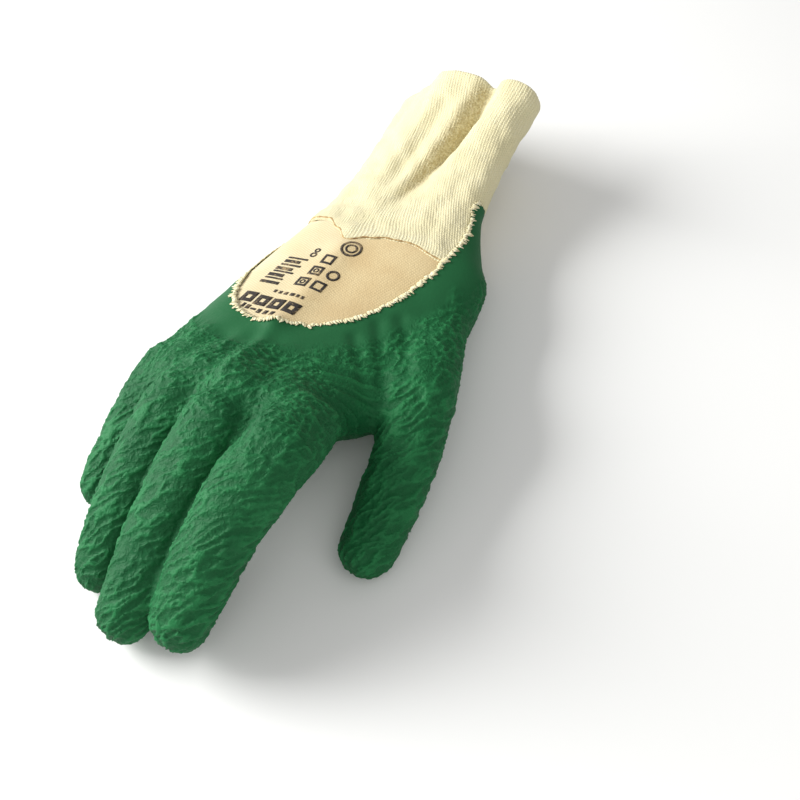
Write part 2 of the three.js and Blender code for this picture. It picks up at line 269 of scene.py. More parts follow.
def middle_line(name):
    """The middle of a digit from its root to its tip's start: (centre, share) at even steps."""
    digit = DIGITS[name]
    run = digit["length"] - digit["width"][1] / 2
    line = [(Vector(digit["root"]), 0.0)]
    for i in range(1, DIGIT_STEPS + 1):
        share = i / DIGIT_STEPS
        along = course(name, share - 0.5 / DIGIT_STEPS)[0]
        line.append((line[-1][0] + along * run / DIGIT_STEPS, share))
    return line


def plane_between(name, other):
    """The plane halfway between two neighbouring fingers."""
    one, two = middle_line(name), middle_line(other)
    mean_one, mean_two = (one[0][0] + one[-1][0]) / 2, (two[0][0] + two[-1][0]) / 2
    along = (one[-1][0] - one[0][0]).normalized()
    normal = mean_one - mean_two
    normal -= along * normal.dot(along)
    return (mean_one + mean_two) / 2, normal.normalized()


def digit_rings(name, inset):
    """Rings of a digit from its heel to its round tip. Past its web, a finger's
    skin is pressed flat beside its neighbour's."""
    digit = DIGITS[name]
    width = digit["width"]
    run = digit["length"] - width[1] / 2
    planes = []
    if name in FINGERS:
        place = FINGERS.index(name)
        neighbours = FINGERS[max(place - 1, 0):place] + FINGERS[place + 1:place + 2]
        planes = [plane_between(name, other) for other in neighbours]
    rings = []

    def add_ring(centre, share, scale, pressed):
        _, side, up = course(name, share)
        half = between(width, share) / 2
        ring = []
        for k in range(DIGIT_SIDES):
            angle = math.tau * k / DIGIT_SIDES
            point = (centre + side * math.cos(angle) * (half - inset) * scale
                     + up * math.sin(angle) * (half * digit["flatness"] - inset) * scale)
            for middle, normal in planes:
                clear = (point - middle).dot(normal)
                point += normal * pressed * max(FINGER_GAP / 2 + inset - clear, 0)
            ring.append(point)
        rings.append(ring)

    add_ring(Vector(digit["heel"]) + course(name, 0)[0] * inset, 0, digit["heel_share"], 0)
    line = middle_line(name)
    for centre, share in line:
        add_ring(centre, share, 1, smoothstep(0.6, 1.0, share * run / max(digit["web"], 1)))
    for angle in TIP_ANGLES:
        reach = (width[1] / 2 - inset) * math.sin(math.radians(angle))
        centre = line[-1][0] + course(name, 1)[0] * reach
        add_ring(centre, 1, math.cos(math.radians(angle)), 1)
    return rings


def edges_of(verts):
    """The edges at some points, each once."""
    return list(dict.fromkeys(edge for vert in verts for edge in vert.link_edges))


def add_loft(shape, rings):
    """A closed skin over rings of equal size."""
    loops = []
    for ring in rings:
        circle = bmesh.ops.create_circle(shape, segments=len(ring), radius=1)["verts"]
        for vert, place in zip(circle, ring):
            vert.co = place
        loops.append(circle)
    edges = [edges_of(loop) for loop in loops]
    for lower, upper in zip(edges, edges[1:]):
        bmesh.ops.bridge_loops(shape, edges=lower + upper)
    bmesh.ops.contextual_create(shape, geom=loops[0])
    bmesh.ops.contextual_create(shape, geom=loops[-1])


# Soft folds on the back of the hand: their lines, how high they stand and how
# wide they are. The ones below zero are valleys that run up from the webs.
BACK_FOLDS = (
    (((-8, -60), (-4, -76), (0, -92)), 1.5, 3.6),
    (((-13, -14), (-10, -38), (-8, -60)), 1.5, 6.5),
    (((-8, -66), (-10, -84), (-6, -104)), -1.3, 4.5),
    (((8, -76), (15, -94), (21, -112)), -1.8, 5.0),
    (((-20, -74), (-24, -88), (-26, -102)), -1.4, 4.5),
    (((22, -40), (33, -54), (39, -62)), -0.9, 2.4),
    (((19, -50), (30, -61), (36, -68)), -0.8, 2.2),
    (((27, -33), (38, -45), (43, -53)), -0.8, 2.4),
)


def bell(distance, width):
    """A soft hump of height 1."""
    return math.exp(-(distance / width) ** 2)


def fold_height(point):
    """How much the soft folds lift or lower the back of the hand, in mm."""
    height = 0
    for line, tall, wide in BACK_FOLDS:
        reach = 1e9
        for one, two in zip(line, line[1:]):
            run = Vector((two[0] - one[0], two[1] - one[1]))
            away = Vector((point.x - one[0], point.y - one[1]))
            share = min(max(away.dot(run) / run.length_squared, 0), 1)
            reach = min(reach, (away - run * share).length)
        height += tall * bell(reach, wide)
    return height


def smooth(shape, verts, passes):
    for _ in range(passes):
        bmesh.ops.smooth_vert(shape, verts=verts, factor=0.5,
                              use_axis_x=True, use_axis_y=True, use_axis_z=True)


def hand_skin(inset, voxel, passes, end_y):
    """The hand, fingers and thumb as one smooth skin, open at its wrist end."""
    shape = bmesh.new()
    start_y = end_y + 4 * HAND_STEP
    last_y = HAND_END_Y + inset
    steps = math.ceil((start_y - last_y) / HAND_STEP)
    add_loft(shape, [section_ring(start_y + (last_y - start_y) * i / steps, inset, HAND_SIDES)
                     for i in range(steps + 1)])
    for name in DIGITS:
        add_loft(shape, digit_rings(name, inset))
    bmesh.ops.recalc_face_normals(shape, faces=shape.faces)
    mesh = bpy.data.meshes.new("form")
    shape.to_mesh(mesh)
    shape.free()
    form = bpy.data.objects.new("form", mesh)
    bpy.context.scene.collection.objects.link(form)
    remesh = form.modifiers.new("one_skin", "REMESH")
    remesh.mode = "VOXEL"
    remesh.voxel_size = voxel
    skin = bmesh.new()
    skin.from_object(form, bpy.context.evaluated_depsgraph_get())
    bpy.data.objects.remove(form)
    bpy.data.meshes.remove(mesh)
    smooth(skin, skin.verts, passes)
    web = [vert for vert in skin.verts if (vert.co - WEB_MIDDLE).length < WEB_REACH]
    smooth(skin, web, round(WEB_SMOOTHING / voxel ** 2))
    skin.normal_update()
    for vert in skin.verts:
        if vert.normal.z > 0.1:
            vert.co += vert.normal * fold_height(vert.co) * smoothstep(0.1, 0.5, vert.normal.z)
        vert.co.z = max(vert.co.z, inset)
    bmesh.ops.bisect_plane(skin, geom=skin.verts[:] + skin.edges[:] + skin.faces[:],
                           plane_co=(0, end_y, 0), plane_no=(0, 1, 0), clear_outer=True)
    return skin


def spline(points, steps):
    """A smooth curve through points, as (place, direction) at even steps."""
    stops = [Vector(p) for p in points]
    curve = []
    for i in range(len(stops) - 1):
        a, b = stops[max(i - 1, 0)], stops[i]
        c, d = stops[i + 1], stops[min(i + 2, len(stops) - 1)]
        for k in range(steps):
            t = k / steps
            place = 0.5 * (2 * b + (c - a) * t + (2 * a - 5 * b + 4 * c - d) * t ** 2
                           + (3 * b - a - 3 * c + d) * t ** 3)
            slope = 0.5 * ((c - a) + 2 * (2 * a - 5 * b + 4 * c - d) * t
                           + 3 * (3 * b - a - 3 * c + d) * t ** 2)
            curve.append((place, slope.normalized()))
    return curve


edge_curve = spline(COAT_EDGE, COAT_EDGE_STEPS)
edge_tree = kdtree.KDTree(len(edge_curve))
for i, (place, _) in enumerate(edge_curve):
    edge_tree.insert((place.x, place.y, 0), i)
edge_tree.balance()


def latex_depth(point):
    """How far inside the latex a point is, in mm. It is negative on bare cloth."""
    _, i, _ = edge_tree.find((point.x, point.y, 0))
    place, slope = edge_curve[i]
    from_edge = slope.x * (point.y - place.y) - slope.y * (point.x - place.x)
    plane_z = PLANE_HEIGHT + PLANE_SLOPE_X * point.x + PLANE_SLOPE_Y * point.y
    return min(max(from_edge, plane_z - point.z), COAT_END_Y - point.y)


def ragged_depth(point):
    """The same with the small teeth that the latex forms in the knit."""
    return latex_depth(point) + sum(reach * noise.noise(point * pitch) for pitch, reach in RAGGED)


def rise(depth, point, step):
    """The direction in which a depth grows fastest at a point, as long as its growth
    over twice the step."""
    return Vector([depth(point + axis * step) - depth(point - axis * step)
                   for axis in (Vector((1, 0, 0)), Vector((0, 1, 0)), Vector((0, 0, 1)))])


def keep_largest_region(skin):
    """Deletes the small loose bits of a skin."""
    kept = set(largest_region(skin.faces))
    bmesh.ops.delete(skin, geom=[face for face in skin.faces if face not in kept],
                     context="FACES")


def largest_region(faces):
    """The largest connected set among some faces."""
    left = set(faces)
    best = []
    while left:
        region = [left.pop()]
        for face in region:
            for edge in face.edges:
                for other in edge.link_faces:
                    if other in left:
                        left.remove(other)
                        region.append(other)
        best = max(best, region, key=len)
    return best


def trim_to_latex(skin):
    """Cuts the bare cloth's part out of a skin, along the ragged edge."""
    depth = {vert: ragged_depth(vert.co) for vert in skin.verts}
    bare = [f for f in skin.faces if sum(depth[v] for v in f.verts) < 0]
    bmesh.ops.delete(skin, geom=largest_region(bare), context="FACES")
    keep_largest_region(skin)
    pinched = True
    while pinched:
        pinched = [v for v in skin.verts if sum(e.is_boundary for e in v.link_edges) > 2]
        pinched_faces = dict.fromkeys(face for vert in pinched for face in vert.link_faces)
        bmesh.ops.delete(skin, geom=list(pinched_faces), context="FACES")
    keep_largest_region(skin)
    for vert in [v for v in skin.verts if v.is_boundary]:
        slope = rise(ragged_depth, vert.co, TRIM_STEP)
        slope -= vert.normal * slope.dot(vert.normal)
        if slope.length > 0.1:
            move = -ragged_depth(vert.co) / (slope.length / (2 * TRIM_STEP))
            vert.co += slope.normalized() * min(max(move, -COAT_VOXEL), COAT_VOXEL)


# Every digit's middle line with its directions, for the crinkles to follow.
digit_stops = []
for name in DIGITS:
    run = DIGITS[name]["length"] - DIGITS[name]["width"][1] / 2
    for centre, share in middle_line(name):
        digit_stops.append((name, centre, share * run, course(name, share)))
digit_tree = kdtree.KDTree(len(digit_stops))
for i, (_, centre, _, _) in enumerate(digit_stops):
    digit_tree.insert(centre, i)
digit_tree.balance()

CRINKLE_SLANT = math.radians(47)          # between a digit's length and its crinkles
HAND_CRINKLE_SLANT = math.radians(64)     # between +X and the crinkles on the hand
DIGIT_RADIUS = 11
CRINKLE_HEIGHT = 0.78
HAND_SHARE = 0.7                          # the crinkles are lower on the hand
FINE_HEIGHT = 0.34
SWELL_HEIGHT = 0.4                        # slow waves under the crinkles
SMOOTH_BAND = (9, 17)                     # the latex is smooth this near to its edge


def ridge(value, sharpness):
    """A thin crest where the noise crosses zero."""
    return max(0, 1 - abs(value) * sharpness) ** 1.4


def digit_crinkle(run, girth, offset):
    """Crests that wind round a digit: the long ones and the fine ones."""
    long = -math.cos(CRINKLE_SLANT) * run + math.sin(CRINKLE_SLANT) * girth
    across = math.sin(CRINKLE_SLANT) * run + math.cos(CRINKLE_SLANT) * girth
    across += 1.1 * noise.noise(Vector((long * 0.16, across * 0.16, offset)))
    strength = 0.8 + 0.7 * noise.noise(Vector((long * 0.05, across * 0.07, offset + 9)))
    coarse = ridge(noise.noise(Vector((long * 0.11, across * 0.4, offset))), 2.7) * strength
    fine = ridge(noise.noise(Vector((long * 0.35, across * 0.66, offset + 5))), 2.6)
    return Vector((coarse, fine))


def crinkle(point):
    """The crests on the coat at a point, 0 to 1: the long ones and the fine ones."""
    _, i, _ = digit_tree.find(point)
    name, centre, run, (along, side, up) = digit_stops[i]
    local = point - centre
    run += local.dot(along)
    on_digit = smoothstep(-10, 8, run - DIGITS[name]["web"])
    crests = Vector((0, 0))
    if on_digit > 0:
        turn = math.atan2(local.dot(side), local.dot(up))
        offset = 31.7 * list(DIGITS).index(name)
        wrapped = smoothstep(0.7 * math.pi, math.pi, abs(turn)) / 2
        girth = turn * DIGIT_RADIUS
        crests += digit_crinkle(run, girth, offset) * on_digit * (1 - wrapped)
        if wrapped > 0:
            other = girth - math.copysign(math.tau * DIGIT_RADIUS, turn)
            crests += digit_crinkle(run, other, offset) * on_digit * wrapped
    if on_digit < 1:
        cosine, sine = math.cos(HAND_CRINKLE_SLANT), math.sin(HAND_CRINKLE_SLANT)
        long, across = cosine * point.x + sine * point.y, sine * point.x - cosine * point.y
        stretched = Vector((long * 0.22, across * 0.4, point.z * 0.4))
        coarse = ridge(noise.noise(stretched), 3.0) * HAND_SHARE
        fine = ridge(noise.noise(point * 0.62), 3.0)
        crests += Vector((coarse, fine)) * (1 - on_digit)
    return crests


def crinkle_height(point):
    """The coat's height over its smooth form, how near to a crest, and how smooth."""
    coarse, fine = crinkle(point)
    band = smoothstep(*SMOOTH_BAND, latex_depth(point) + 4 * noise.noise(point * 0.15))
    height = band * (CRINKLE_HEIGHT * coarse + FINE_HEIGHT * fine)
    swell = SWELL_HEIGHT * noise.noise(point * 0.09)
    return height + swell, band * min(coarse + 0.35 * fine, 1), 1 - band


def store(shape, name, kind, values):
    """Keeps a value for each point, for the material to read."""
    layers = shape.verts.layers.float_vector if kind == "vector" else shape.verts.layers.float
    layer = layers.new(name)
    for vert, value in zip(shape.verts, values):
        vert[layer] = value


def merged(shape, other):
    """Adds another bmesh to a shape."""
    mesh = bpy.data.meshes.new("part")
    other.to_mesh(mesh)
    other.free()
    shape.from_mesh(mesh)
    bpy.data.meshes.remove(mesh)


def closed_with_back(front, back):
    """Joins an outer skin with its inner one, whose faces are turned round,
    and closes the border between them."""
    bmesh.ops.reverse_faces(back, faces=back.faces)
    merged(front, back)
    border = [edge for edge in front.edges if edge.is_boundary]
    bmesh.ops.bridge_loops(front, edges=border)


def finished(name, shape, finish, node_names=()):
    """Moves a shape from the wrist seam's millimetres to the frame, as a piece."""
    bmesh.ops.translate(shape, verts=shape.verts, vec=WRIST_SEAM)
    bmesh.ops.scale(shape, verts=shape.verts, vec=(MM, MM, MM))
    for face in shape.faces:
        face.smooth = True
    mesh = bpy.data.meshes.new(name)
    shape.to_mesh(mesh)
    shape.free()
    piece = bpy.data.objects.new(name, mesh)
    bpy.context.scene.collection.objects.link(piece)
    mesh.materials.append(finish)
    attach(piece, "root")
    if node_names:
        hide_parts(*node_names)


def node(tree, kind, **inputs):
    """A shader node with some of its inputs set or linked."""
    made = tree.nodes.new(kind)
    for key, value in inputs.items():
        feed(tree, made.inputs[key.replace("_", " ")], value)
    return made


def feed(tree, socket, value):
    """Links a socket to another one, or sets its value."""
    if isinstance(value, bpy.types.NodeSocket):
        tree.links.new(value, socket)
    else:
        socket.default_value = value


def maths(tree, operation, *values):
    """The result of a sum on one or two values."""
    made = tree.nodes.new("ShaderNodeMath")
    made.operation = operation
    for socket, value in zip(made.inputs, values):
        feed(tree, socket, value)
    return made.outputs["Value"]


def attribute(tree, name, kind="Fac"):
    """A value that the mesh keeps for each point."""
    made = tree.nodes.new("ShaderNodeAttribute")
    made.attribute_name = name
    return made.outputs[kind]


def noise_in(tree, place, scale, **inputs):
    """Cloudy noise on a place, 0 to 1."""
    return node(tree, "ShaderNodeTexNoise", Vector=place, Scale=scale, **inputs).outputs["Fac"]


def mixed(tree, share, one, two):
    """A colour between two others, by a share."""
    made = tree.nodes.new("ShaderNodeMix")
    made.data_type = "RGBA"
    feed(tree, made.inputs["Factor"], share)
    feed(tree, made.inputs["A"], one)
    feed(tree, made.inputs["B"], two)
    return made.outputs["Result"]


def ramped(tree, value, low, high):
    """Spreads low to high over 0 to 1, softly."""
    made = node(tree, "ShaderNodeMapRange", Value=value, From_Min=low, From_Max=high)
    made.interpolation_type = "SMOOTHSTEP"
    return made.outputs["Result"]


def in_relief(tree, shader, *layers):
    """Raises a surface by heights, each with its strength and its distance in metres."""
    normal = {}
    for height, strength, distance in layers:
        bump = node(tree, "ShaderNodeBump", Height=height, Strength=strength,
                    Distance=distance, **normal)
        normal = {"Normal": bump.outputs["Normal"]}
    tree.links.new(bump.outputs["Normal"], shader.inputs["Normal"])


def latex_finish():
    """Green latex: a painted highlight on its crests and painted shade in its creases, with a
    satin smooth band.
    """
    finish, tree, shader = principled("green_crinkled_latex")
    crest = attribute(tree, "crest")
    band = attribute(tree, "band")
    place = node(tree, "ShaderNodeTexCoord").outputs["Object"]
    cloud = noise_in(tree, place, 60.0, Detail=4.0)
    # Painted light: the crests are painted paler as a highlight, the creases darker as shade.
    painted_crinkle_light = mixed(tree, ramped(tree, crest, 0.1, 0.9), srgb(19, 85, 46), srgb(32, 108, 61))
    patchy = mixed(tree, ramped(tree, cloud, 0.42, 0.75), painted_crinkle_light, srgb(19, 84, 46))
    feed(tree, shader.inputs["Base Color"], mixed(tree, band, patchy, srgb(29, 90, 52)))
    pores = noise_in(tree, place, 900.0, Detail=3.0)
    roughness = node(tree, "ShaderNodeMapRange", Value=pores, To_Min=0.5, To_Max=0.72)
    feed(tree, shader.inputs["Roughness"], roughness.outputs["Result"])
    shader.inputs["Specular IOR Level"].default_value = 0.16
    net = noise_in(tree, place, 480.0, Detail=2.0, Roughness=0.45, Distortion=0.4)
    from_middle = maths(tree, "ABSOLUTE", maths(tree, "SUBTRACT", net, 0.5))
    net_crests = node(tree, "ShaderNodeMapRange", Value=from_middle, From_Min=0.0, From_Max=0.15,
                      To_Min=1.0, To_Max=0.0).outputs["Result"]
    net_height = maths(tree, "MULTIPLY", net_crests, maths(tree, "SUBTRACT", 1.0, band))
    in_relief(tree, shader, (net_height, 0.45, 0.0004),
              (ramped(tree, crest, 0.3, 0.85), 0.55, 0.0005), (pores, 0.25, 0.0003))
    return finish


coat = hand_skin(COAT_OUT, COAT_VOXEL, COAT_PASSES, COAT_END_Y + COAT_SPARE)
coat.normal_update()
raised = [crinkle_height(vert.co) for vert in coat.verts]
# The crest share shapes the latex's bump and also sets its painted highlight and crease shade.
store(coat, "crest", "float", [crest for _, crest, _ in raised])
store(coat, "band", "float", [band for _, _, band in raised])
normals = [vert.normal.copy() for vert in coat.verts]
for vert, normal, (height, _, _) in zip(coat.verts, normals, raised):
    vert.co += normal * (height - COAT_SINK)
    vert.co.z = max(vert.co.z, TABLE_CLEAR)
trim_to_latex(coat)
coat.normal_update()
border_places = [(v.co.copy(), v.normal.copy()) for v in coat.verts if v.is_boundary]
coat_back = hand_skin(COAT_IN, COAT_BACK_VOXEL, COAT_BACK_PASSES, COAT_END_Y + COAT_SPARE)
trim_to_latex(coat_back)
closed_with_back(coat, coat_back)
finished("latex_coat", coat, latex_finish(),
         ["palm_coated", "back_coated", "thumb", "finger_index", "finger_middle", "finger_ring",
          "finger_little"])


# ---- Jersey liner -------------------------------------------------------------
# Thin cotton jersey, sewn into the shape of a hand and open at the wrist. It
# shows on the bare patch of the back and inside the cuff, and lies under the
# latex everywhere else.

LINER_OUT = 0.75
LINER_IN = 1.7
LINER_END_Y = 4.0
LINER_VOXEL, LINER_BACK_VOXEL = 1.3, 2.21
LINER_PASSES, LINER_BACK_PASSES = 12, 5
TUCK = 1.3               # how far the liner's end is drawn in under the cuff


def jersey_finish():
    """Natural cotton jersey with fine slanting stitches and painted light: paler on the little
    finger side, where the window's light falls, tan painted shade towards the thumb.
    """
    finish, tree, shader = principled("natural_cotton_jersey")
    place = node(tree, "ShaderNodeTexCoord").outputs["Object"]
    turned_place = node(tree, "ShaderNodeMapping", Vector=place, Rotation=(0, 0, 0.35))
    wales, courses = (
        node(tree, "ShaderNodeTexWave", Vector=turned_place.outputs["Vector"], Scale=scale,
             Distortion=1.2, Detail=1.0) for scale in (300.0, 340.0))
    courses.bands_direction = "Y"
    knit = maths(tree, "MULTIPLY", wales.outputs["Fac"], courses.outputs["Fac"])
    cloud = ramped(tree, noise_in(tree, place, 60.0, Detail=4.0), 0.3, 0.7)
    tan = mixed(tree, cloud, srgb(194, 168, 120), srgb(208, 188, 142))
    pale = mixed(tree, cloud, srgb(208, 196, 156), srgb(216, 206, 172))
    # Painted light: the side facing the window is painted paler, the thumb side tan as painted
    # shade.
    from_side = node(tree, "ShaderNodeSeparateXYZ", Vector=place).outputs["X"]
    across = mixed(tree, ramped(tree, from_side, -0.034, -0.012), pale, tan)
    feed(tree, shader.inputs["Base Color"],
         mixed(tree, ramped(tree, knit, -0.4, 0.6), srgb(188, 166, 120), across))
    shader.inputs["Roughness"].default_value = 0.95
    shader.inputs["Sheen Weight"].default_value = 0.25
    nap = noise_in(tree, place, 1000.0, Detail=3.0)
    in_relief(tree, shader, (knit, 0.3, 0.0002), (nap, 0.4, 0.0004))
    return finish


liner = hand_skin(LINER_OUT, LINER_VOXEL, LINER_PASSES, LINER_END_Y)
closed_with_back(liner, hand_skin(LINER_IN, LINER_BACK_VOXEL, LINER_BACK_PASSES, LINER_END_Y))
for vert in liner.verts:
    x, z = section_at(vert.co.y)[:2]
    tuck = TUCK * smoothstep(-0.6, 1.2, vert.co.y)
    towards = Vector((x - vert.co.x, 0, z - vert.co.z))
    vert.co += towards.normalized() * tuck
liner_surface = BVHTree.FromBMesh(liner)
finished("jersey_liner", liner, jersey_finish(), ["back_bare"])


# ---- Rib cuff -----------------------------------------------------------------
# A tube of cream rib knit, two layers thick and folded at its mouth, sewn on
# at the wrist. It lies creased along its back, with a full lobe beside the
# crease.

MOUTH_Y = 81
CUFF_OUT = 0.2                    # the cuff's outer face, in from the CAD model's skin
CUFF_WALL = 2.4
UNDER_LATEX = 1.1                 # how much deeper it lies where the latex covers it
RIBS = 150
SIDES_PER_RIB = 5
RIB_DEPTH = 0.08
STITCH_LENGTH = 0.9
FUZZ_PITCH, FUZZ_HEIGHT = 0.9, 0.16
SWAY_PITCH, SWAY_HEIGHT = 0.16, 0.7
RING_POINTS = 240                 # round a ring, before it's cut into ribs

# The crease runs from the wrist to the mouth, with a lobe beside it that leans
# over it, and a smaller crease in the lobe. Offsets are from the crease.
PLEAT_START_Y = 14
PLEAT_FROM_X, PLEAT_TO_X = -2, 20
PLEAT_DEPTH = 15
PLEAT_WIDTHS = (3.8, 6.5)         # on the lobe's side and on the thumb side
PLEAT_SHADE = (-1, 2.6)           # offset and width of the painted shade in it
MOUTH_SHARE = 0.4                 # the crease is shallower at the mouth
LOBE_OFFSET, LOBE_HEIGHT, LOBE_WIDTH = -19, 5.5, 11
LEAN, LEAN_OFFSET, LEAN_WIDTH = 4.0, -4.5, 3.5
SECOND_PLEAT_OFFSET, SECOND_PLEAT_DEPTH, SECOND_PLEAT_WIDTH = -10, 2.4, 3.8

# The seam's line at the back of the wrist: how far it lies off a straight line
# at x, how the cloth follows it up to some way from the seam, and the puckers.
SEAM_DIPS = ((-60, 3.5), (-44, 3.0), (-30, 1.5), (-22, -3.5), (-14, -9.0), (-7, -4.5),
             (0, -1.5), (10, 0.0), (22, -1.8), (60, 0.0))
SEAM_DIP_REACH = 24
DIP_RISE = 0.13                   # the cloth rises where the seam dips
PUCKER_HEIGHT, PUCKER_TURNS, PUCKER_REACH = 1.0, 3.4, 14


def seam_dip(x):
    """How far the seam at the back of the wrist lies off its straight line, at x."""
    for (low, start), (high, end) in zip(SEAM_DIPS, SEAM_DIPS[1:]):
        if low <= x <= high:
            return between((start, end), smoothstep(low, high, x))
    return 0


def crease_at(y):
    """How far along the crease a place at y is, 0 to 1, and the crease's offset there."""
    along = min(max((y - PLEAT_START_Y) / (MOUTH_Y - PLEAT_START_Y), 0), 1)
    return along, between((PLEAT_FROM_X, PLEAT_TO_X), along)


def creased(across, upward, y):
    """How far the crease and the lobe move a place on the cuff's back: aside and up, in mm."""
    along, pleat_x = crease_at(y)
    crease = along * between((1, MOUTH_SHARE), smoothstep(0.66, 1, along))
    second = smoothstep(0.1, 0.4, along) * smoothstep(0.9, 0.6, along)
    beside = across - pleat_x
    drop = (crease * PLEAT_DEPTH * bell(beside, PLEAT_WIDTHS[beside > 0])
            - along * LOBE_HEIGHT * bell(beside - LOBE_OFFSET, LOBE_WIDTH)
            + second * SECOND_PLEAT_DEPTH * bell(beside - SECOND_PLEAT_OFFSET,
                                                 SECOND_PLEAT_WIDTH))
    lean = LEAN * crease * bell(beside - LEAN_OFFSET, LEAN_WIDTH)
    return lean * upward, -drop * upward


def evenly(line, count):
    """Points at even steps along a line, from its start to its end."""
    lengths = [0.0]
    for one, two in zip(line, line[1:]):
        lengths.append(lengths[-1] + (two - one).length)
    points = []
    i = 0
    for k in range(count + 1):
        target = min(lengths[-1] * k / count, lengths[-1] - 1e-6)
        while lengths[i + 1] < target:
            i += 1
        share = (target - lengths[i]) / (lengths[i + 1] - lengths[i])
        points.append(line[i].lerp(line[i + 1], share))
    return points


def cuff_ring(y, inset):
    """Even points round the cuff at y, from the middle of its underside."""
    x, z, half_width, half_height, roll = section_at(y)
    side, up = section_axes(roll)
    middle = Vector((x, y, z))
    ring = []
    for k in range(RING_POINTS + 1):
        across, upward = on_oval(math.tau * k / RING_POINTS - math.pi / 2)
        place = middle + side * across * (half_width - inset) + up * upward * (half_height - inset)
        if upward > 0:
            aside, raised_by = creased(across * (half_width - inset), upward, y)
            place += side * aside + up * raised_by
        ring.append(place)
    followed = smoothstep(SEAM_DIP_REACH, -2, y)
    points = []
    for point in evenly(ring, RIBS * SIDES_PER_RIB):
        on_back = smoothstep(-0.1, 0.5, (point - middle).dot(up) / half_height)
        dip = seam_dip(point.x) * followed * on_back
        points.append(point + Vector((0, dip, 0)) + up * max(-dip, 0) * DIP_RISE)
    return points


def crease_share(point, y):
    """How deep in the crease a point of the cuff lies, 0 to 1: the mask of the crease's painted
    shade.
    """
    x, z, _, _, roll = section_at(y)
    side, up = section_axes(roll)
    from_middle = point - Vector((x, point.y, z))
    along, pleat_x = crease_at(y)
    offset, width = PLEAT_SHADE
    depth = smoothstep(0.05, 0.3, along) * smoothstep(0, 3, from_middle.dot(up))
    return depth * bell(from_middle.dot(side) - pleat_x - offset, width)


def rib_wave(k):
    """The rib's shape at a point of a ring: 1 on its crest and -1 in a furrow."""
    return math.cos(math.tau * k / SIDES_PER_RIB)


def cuff_relief(point, k, y):
    """How far the ribs, the fuzz and the puckers at the seam stand out, in mm."""
    turn = math.tau * k / (RIBS * SIDES_PER_RIB)
    pucker = noise.noise(Vector((math.cos(turn), math.sin(turn), 0.5)) * PUCKER_TURNS)
    near_seam = math.exp(-max(y, 0) / PUCKER_REACH) * smoothstep(-2, 7, y)
    fuzz = (FUZZ_HEIGHT * noise.noise(point * FUZZ_PITCH)
            + SWAY_HEIGHT * noise.noise(point * SWAY_PITCH))
    return (RIB_DEPTH * rib_wave(k) + PUCKER_HEIGHT * near_seam * pucker
            + fuzz * smoothstep(-1, 8, y))


def cuff_profile():
    """The cuff's wall from its outer seam, over the mouth's fold, to its inner end: (y, inset)."""
    fold = CUFF_WALL / 2
    rows = [(y, CUFF_OUT) for y in range(0, MOUTH_Y - 2)]
    rows += [(MOUTH_Y - fold + fold * math.sin(math.radians(angle)),
              CUFF_OUT + fold - fold * math.cos(math.radians(angle)))
             for angle in range(0, 181, 30)]
    rows += [(y, CUFF_OUT + CUFF_WALL) for y in range(MOUTH_Y - 4, -1, -4)]
    rows += [(-1.5, CUFF_OUT + CUFF_WALL / 2), (0, CUFF_OUT)]
    return rows


def rib_finish():
    """Cream cotton rib: rows of small V stitches, with painted shade between the ribs and a brown
    painted shade in the crease.
    """
    finish, tree, shader = principled("cream_rib_knit")
    place = node(tree, "ShaderNodeTexCoord").outputs["Object"]
    cloud = noise_in(tree, place, 90.0, Detail=5.0)
    fuzz = noise_in(tree, place, 1100.0, Detail=4.0, Roughness=0.6)
    stitches = node(tree, "ShaderNodeTexWave", Vector=attribute(tree, "stitch", "Vector"),
                    Scale=1.0, Distortion=0.5, Detail=1.0, Detail_Scale=2.0)
    stitches.bands_direction = "Y"
    warm = mixed(tree, ramped(tree, cloud, 0.35, 0.68), srgb(218, 210, 170), srgb(229, 223, 192))
    # Painted shade: darker in the furrows between the ribs, and brown in the crease.
    shaded = mixed(tree, attribute(tree, "furrow"), warm, srgb(208, 199, 157))
    painted_crease_shade = mixed(tree, attribute(tree, "crease_shade"), shaded, srgb(178, 160, 112))
    feed(tree, shader.inputs["Base Color"],
         mixed(tree, ramped(tree, fuzz, 0.3, 0.7), srgb(218, 208, 166), painted_crease_shade))
    shader.inputs["Roughness"].default_value = 0.95
    shader.inputs["Sheen Weight"].default_value = 0.2
    in_relief(tree, shader, (stitches.outputs["Fac"], 0.45, 0.0003), (fuzz, 0.5, 0.0005))
    return finish


def tube_grid(shape, columns, rows):
    """A grid to roll into a tube: its points, row by row."""
    bmesh.ops.create_grid(shape, x_segments=columns, y_segments=rows, size=1)
    shape.verts.index_update()
    in_order = sorted(shape.verts, key=lambda vert: (round(vert.co.y, 5), vert.co.x))
    return [in_order[i:i + columns + 1] for i in range(0, len(in_order), columns + 1)]


